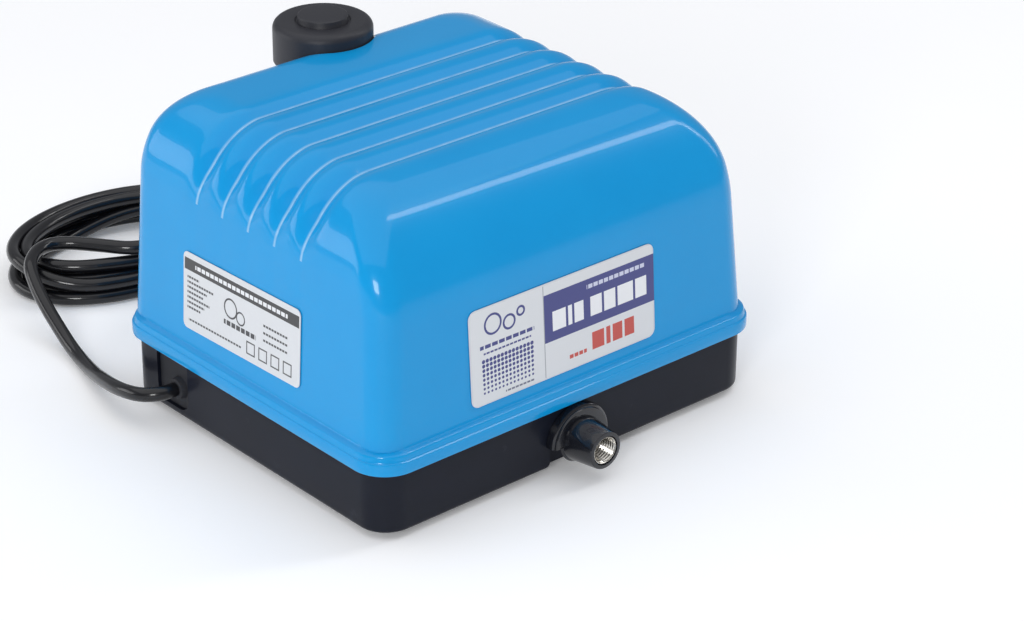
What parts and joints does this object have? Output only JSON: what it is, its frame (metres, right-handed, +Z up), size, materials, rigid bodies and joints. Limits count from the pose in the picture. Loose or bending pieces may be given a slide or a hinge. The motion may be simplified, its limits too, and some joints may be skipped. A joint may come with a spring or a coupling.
{
  "type": "air pump",
  "caption": "Mains diaphragm air pump: ribbed gloss cover on a shallow black tray, rubber filter cap, threaded air outlet, rubber feet and a coiled power cord.",
  "frame": {"origin": "on the floor under the middle of the pump's own box, cord left out", "axes": "+X along the front face to the right seen from the front, +Z up, the air outlet points to -Y"},
  "size_m": [0.2811, 0.3747, 0.162],
  "materials": {
    "cover_paint": "high gloss, moulded-in blue",
    "tray_plastic": "satin, fine moulding grain",
    "seal_rubber": "matte",
    "cap_rubber": "matte with a fine grain",
    "sponge": "open-cell foam",
    "nozzle_plastic": "gloss",
    "insert_nickel": "nickel plated",
    "grommet_rubber": "satin",
    "screw_steel": "zinc plated",
    "front_film": "satin printed film",
    "rating_film": "satin printed film",
    "cord_sheath": "smooth, slightly glossy sheath",
    "plug_plastic": "moulded, satin",
    "cast_alloy": "as cast",
    "core_steel": "lacquered laminations",
    "nylon": "natural nylon",
    "copper": "enamelled copper wire",
    "ferrite": "sintered",
    "diaphragm_rubber": "matte",
    "hose_rubber": "matte"
  },
  "bodies": {
    "case": {"top_cover": "cover_paint", "base_tray": "tray_plastic", "cover_seal": "seal_rubber", "foot_front_left": "seal_rubber", "foot_front_right": "seal_rubber", "foot_rear_left": "seal_rubber", "foot_rear_right": "seal_rubber", "rubber_mount_front_left": "seal_rubber", "rubber_mount_front_right": "seal_rubber", "rubber_mount_rear_left": "seal_rubber", "rubber_mount_rear_right": "seal_rubber", "outlet_nozzle": "nozzle_plastic", "outlet_insert": "insert_nickel", "plug_pin_1": "insert_nickel", "plug_pin_2": "insert_nickel", "cord_grommet": "grommet_rubber", "case_screw_front_left": "screw_steel", "case_screw_front_right": "screw_steel", "case_screw_rear_left": "screw_steel", "case_screw_rear_right": "screw_steel", "front_label": "front_film", "rating_label": "rating_film", "power_cord": "cord_sheath", "cord_coil": "cord_sheath", "cord_tail": "cord_sheath", "inner_lead": "cord_sheath", "plug_body": "plug_plastic", "chassis_plate": "cast_alloy", "air_chamber": "cast_alloy", "left_valve_box": "cast_alloy", "right_valve_box": "cast_alloy", "stator_core": "core_steel", "core_clamp": "core_steel", "left_pivot_pin": "core_steel", "right_pivot_pin": "core_steel", "coil_bobbin": "nylon", "filter_grid": "nylon", "left_valve_cover": "nylon", "right_valve_cover": "nylon", "cord_clamp": "nylon", "terminal_block": "nylon", "coil_winding": "copper", "left_diaphragm": "diaphragm_rubber", "right_diaphragm": "diaphragm_rubber", "left_air_hose": "hose_rubber", "right_air_hose": "hose_rubber", "outlet_hose": "hose_rubber"},
    "filter_cap": {"filter_cap": "cap_rubber", "filter_sponge": "sponge"},
    "left_arm": {"left_swing_arm": "cast_alloy", "left_magnet": "ferrite", "left_diaphragm_plate": "core_steel"},
    "right_arm": {"right_swing_arm": "cast_alloy", "right_magnet": "ferrite", "right_diaphragm_plate": "core_steel"},
    "left_intake_flap": {"left_intake_flap": "diaphragm_rubber"},
    "left_exhaust_flap": {"left_exhaust_flap": "diaphragm_rubber"},
    "right_intake_flap": {"right_intake_flap": "diaphragm_rubber"},
    "right_exhaust_flap": {"right_exhaust_flap": "diaphragm_rubber"}
  },
  "joints": [
    {"name": "filter_cap_pull", "type": "slide", "parent": "case", "child": "filter_cap", "axis": [0, 0, 1], "range_m": [0, 0.03]},
    {"name": "left_arm_swing", "type": "hinge", "parent": "case", "child": "left_arm", "pos_m": [-0.031, -0.051, 0.043], "axis": [0, 0, 1], "range_deg": [-1.5, 1.5], "stiffness_Nm_per_rad": 4},
    {"name": "right_arm_swing", "type": "hinge", "parent": "case", "child": "right_arm", "pos_m": [0.031, -0.051, 0.043], "axis": [0, 0, 1], "range_deg": [-1.5, 1.5], "stiffness_Nm_per_rad": 4},
    {"name": "left_intake_flap_open", "type": "hinge", "parent": "case", "child": "left_intake_flap", "pos_m": [-0.0461, -0.031, 0.049], "axis": [0, -1, 0], "range_deg": [0, 12], "stiffness_Nm_per_rad": 0.004},
    {"name": "left_exhaust_flap_open", "type": "hinge", "parent": "case", "child": "left_exhaust_flap", "pos_m": [-0.0509, -0.011, 0.049], "axis": [0, 1, 0], "range_deg": [0, 12], "stiffness_Nm_per_rad": 0.004},
    {"name": "right_intake_flap_open", "type": "hinge", "parent": "case", "child": "right_intake_flap", "pos_m": [0.0461, -0.031, 0.049], "axis": [0, 1, 0], "range_deg": [0, 12], "stiffness_Nm_per_rad": 0.004},
    {"name": "right_exhaust_flap_open", "type": "hinge", "parent": "case", "child": "right_exhaust_flap", "pos_m": [0.0509, -0.011, 0.049], "axis": [0, -1, 0], "range_deg": [0, 12], "stiffness_Nm_per_rad": 0.004}
  ],
  "couplings": [
    {"joint": "right_arm_swing", "follows": "left_arm_swing", "ratio": -1}
  ]
}
